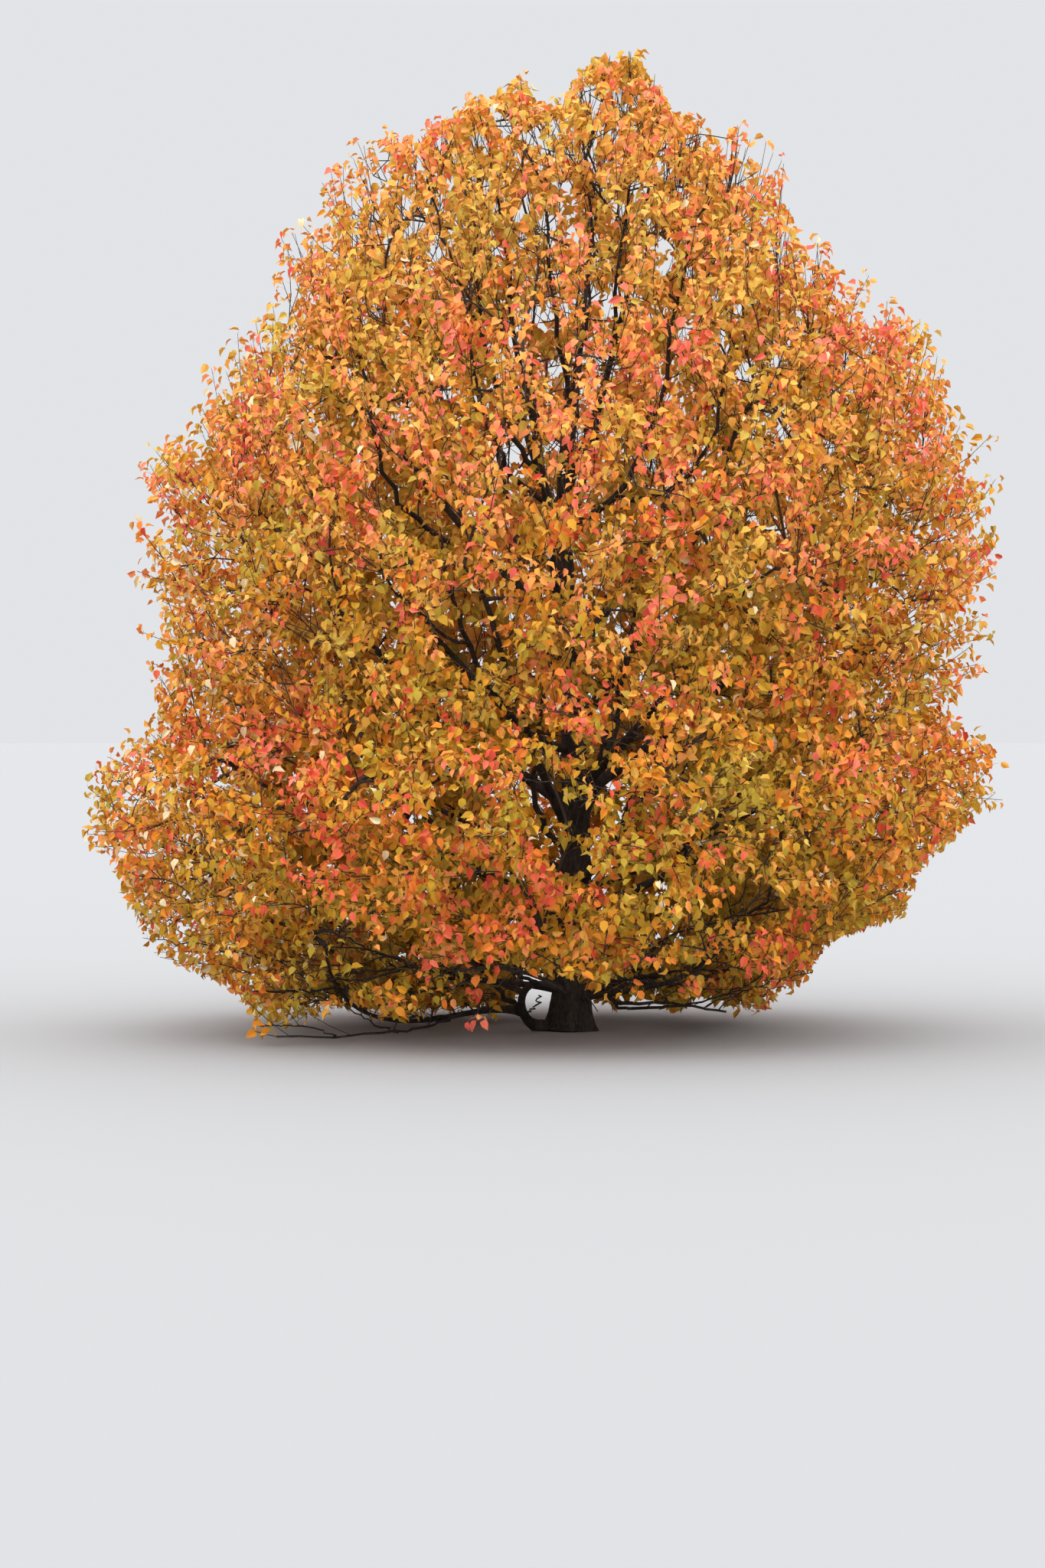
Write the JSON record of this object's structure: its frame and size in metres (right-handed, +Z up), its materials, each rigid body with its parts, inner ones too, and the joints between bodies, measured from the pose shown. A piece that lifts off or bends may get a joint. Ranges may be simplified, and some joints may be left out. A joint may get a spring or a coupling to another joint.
{
  "type": "pear tree",
  "caption": "Broad, low-branched ornamental pear tree in full orange, coral and gold autumn leaf, rooted in level ground.",
  "frame": {"origin": "middle of the flat cut under the trunk, at ground level", "axes": "+Z up along the trunk; the pictured side faces -Y, and +X is to its right"},
  "size_m": [4.1995, 4.0232, 4.7813],
  "materials": {
    "bark": "matte, fissured",
    "leaf_gold": "satin",
    "leaf_orange": "satin",
    "leaf_ochre": "satin",
    "leaf_coral": "satin",
    "leaf_amber": "satin"
  },
  "bodies": {
    "root": {"trunk": "bark", "skirt_bough_1": "bark", "skirt_bough_2": "bark", "skirt_bough_3": "bark", "skirt_bough_4": "bark", "skirt_bough_5": "bark", "skirt_bough_6": "bark", "skirt_bough_7": "bark", "lower_bough_1": "bark", "lower_bough_2": "bark", "lower_bough_3": "bark", "lower_bough_4": "bark", "lower_bough_5": "bark", "lower_bough_6": "bark", "lower_bough_7": "bark", "middle_bough_1": "bark", "middle_bough_2": "bark", "middle_bough_3": "bark", "middle_bough_4": "bark", "middle_bough_5": "bark", "middle_bough_6": "bark", "upper_bough_1": "bark", "upper_bough_2": "bark", "upper_bough_3": "bark", "upper_bough_4": "bark", "upper_bough_5": "bark", "top_bough_1": "bark", "top_bough_2": "bark", "top_bough_3": "bark", "skirt_foliage_1": "leaf_gold", "skirt_foliage_2": "leaf_orange", "skirt_foliage_3": "leaf_ochre", "skirt_foliage_4": "leaf_coral", "skirt_foliage_5": "leaf_amber", "skirt_foliage_6": "leaf_gold", "skirt_foliage_7": "leaf_orange", "lower_foliage_1": "leaf_ochre", "lower_foliage_2": "leaf_coral", "lower_foliage_3": "leaf_amber", "lower_foliage_4": "leaf_gold", "lower_foliage_5": "leaf_orange", "lower_foliage_6": "leaf_ochre", "lower_foliage_7": "leaf_coral", "middle_foliage_1": "leaf_amber", "middle_foliage_2": "leaf_gold", "middle_foliage_3": "leaf_orange", "middle_foliage_4": "leaf_ochre", "middle_foliage_5": "leaf_coral", "middle_foliage_6": "leaf_amber", "upper_foliage_1": "leaf_gold", "upper_foliage_2": "leaf_orange", "upper_foliage_3": "leaf_ochre", "upper_foliage_4": "leaf_coral", "upper_foliage_5": "leaf_amber", "top_foliage_1": "leaf_gold", "top_foliage_2": "leaf_orange", "top_foliage_3": "leaf_ochre"}
  },
  "joints": []
}
